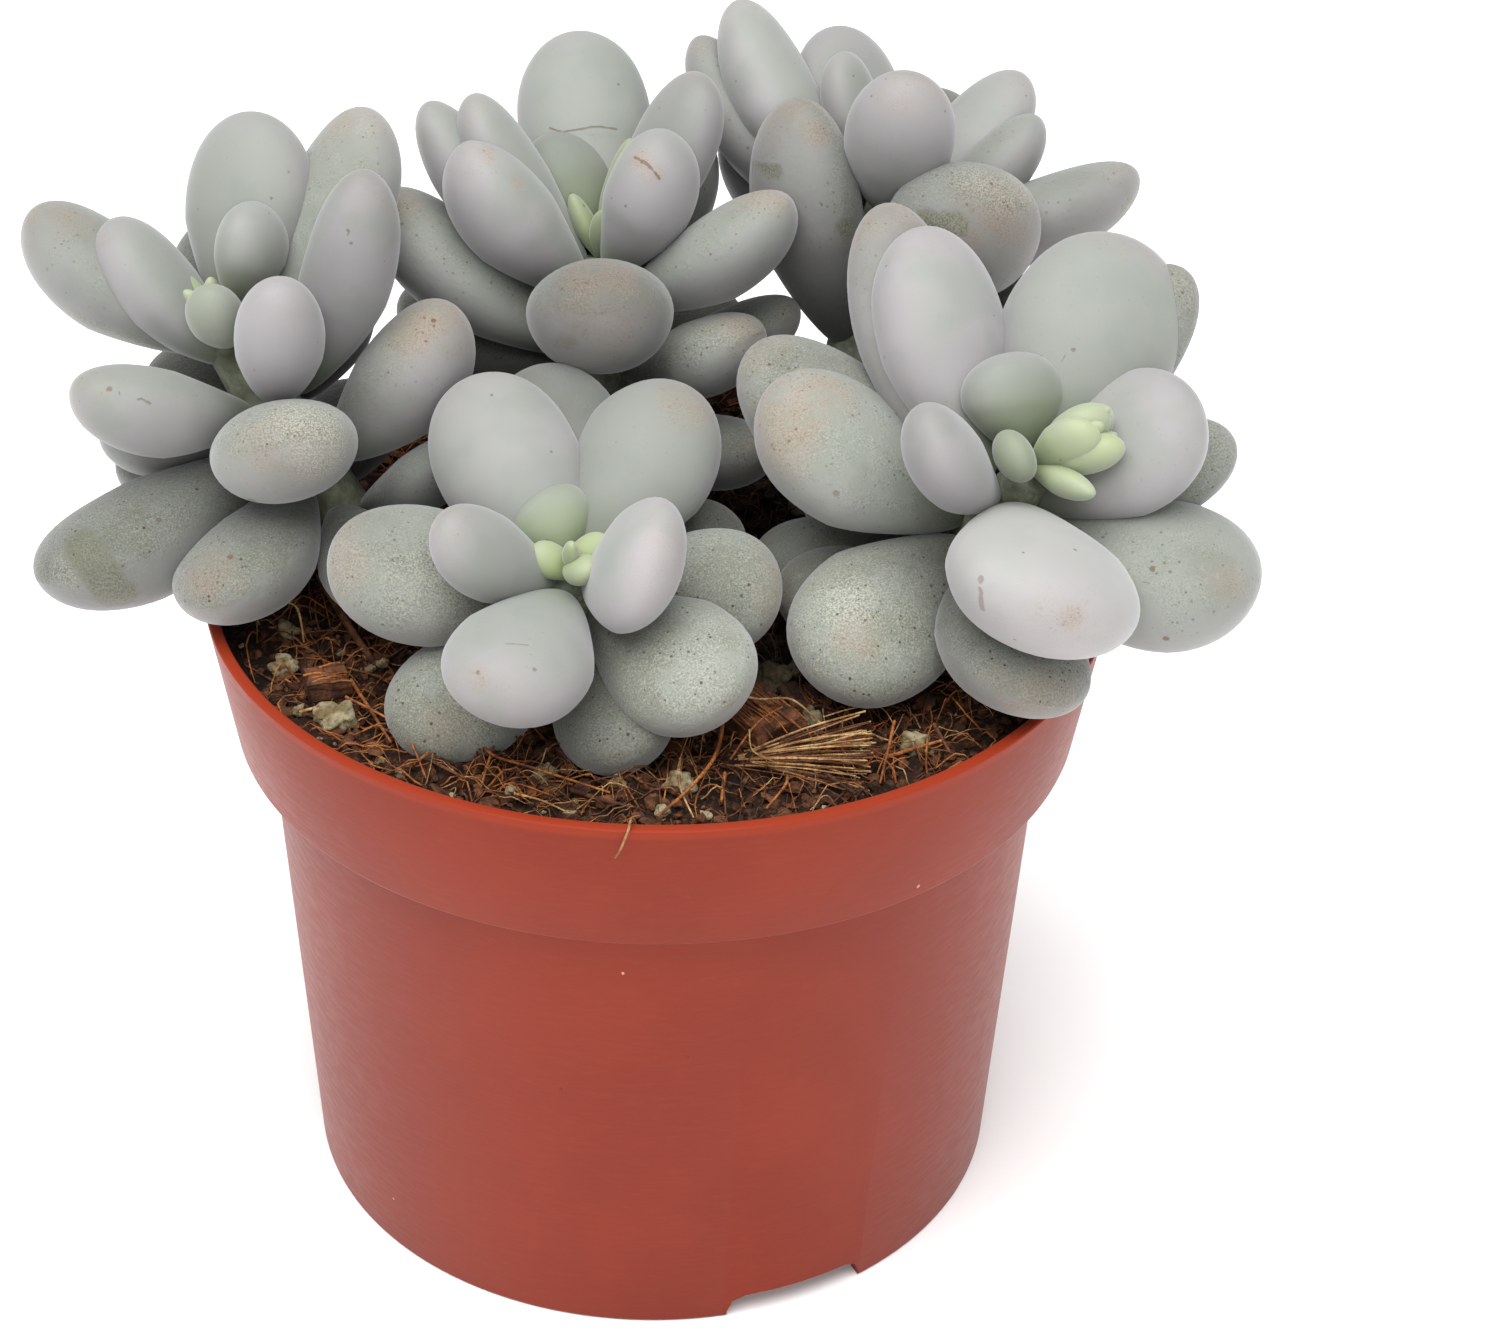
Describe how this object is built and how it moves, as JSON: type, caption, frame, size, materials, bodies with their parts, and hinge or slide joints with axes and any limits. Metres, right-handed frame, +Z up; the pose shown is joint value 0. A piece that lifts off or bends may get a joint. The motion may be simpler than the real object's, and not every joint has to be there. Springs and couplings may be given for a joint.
{
  "type": "potted moonstones plant",
  "caption": "Potted moonstones succulent: leafy stems of plump waxy grey-blue leaves growing in coir soil, in a round tapered plastic nursery pot with a deep rim band.",
  "frame": {"origin": "middle of the whole plant's footprint, on the surface that the pot stands on", "axes": "+Z up; the picture looks along +Y from above, with +X to its right"},
  "size_m": [0.1606, 0.1301, 0.1476],
  "materials": {
    "pot_plastic": "satin terracotta-coloured plastic with faint scuffs",
    "soil": "matt, dark, crumbly coir with fine fibres",
    "leaf": "matt waxy bloom over grey-blue, with small scars and tan patches",
    "young_leaf": "soft pale green with a thin bloom",
    "coir": "matt, fibrous",
    "perlite": "matt, porous, off-white"
  },
  "bodies": {
    "root": {"pot": "pot_plastic", "soil": "soil", "leafy_stem_left": "leaf", "growing_tip_left": "young_leaf", "leafy_stem_front": "leaf", "growing_tip_front": "young_leaf", "leafy_stem_centre": "leaf", "growing_tip_centre": "young_leaf", "leafy_stem_back_right": "leaf", "growing_tip_back_right": "young_leaf", "leafy_stem_right": "leaf", "growing_tip_right": "young_leaf", "coir_block": "coir", "bark_flake": "coir", "coir_lump": "coir", "fibre_tuft": "coir", "twig": "coir", "perlite_grain_1": "perlite", "perlite_grain_2": "perlite", "perlite_grain_3": "perlite", "perlite_grain_4": "perlite", "perlite_grain_5": "perlite", "perlite_grain_6": "perlite", "perlite_grain_7": "perlite", "perlite_grain_8": "perlite"}
  },
  "joints": []
}
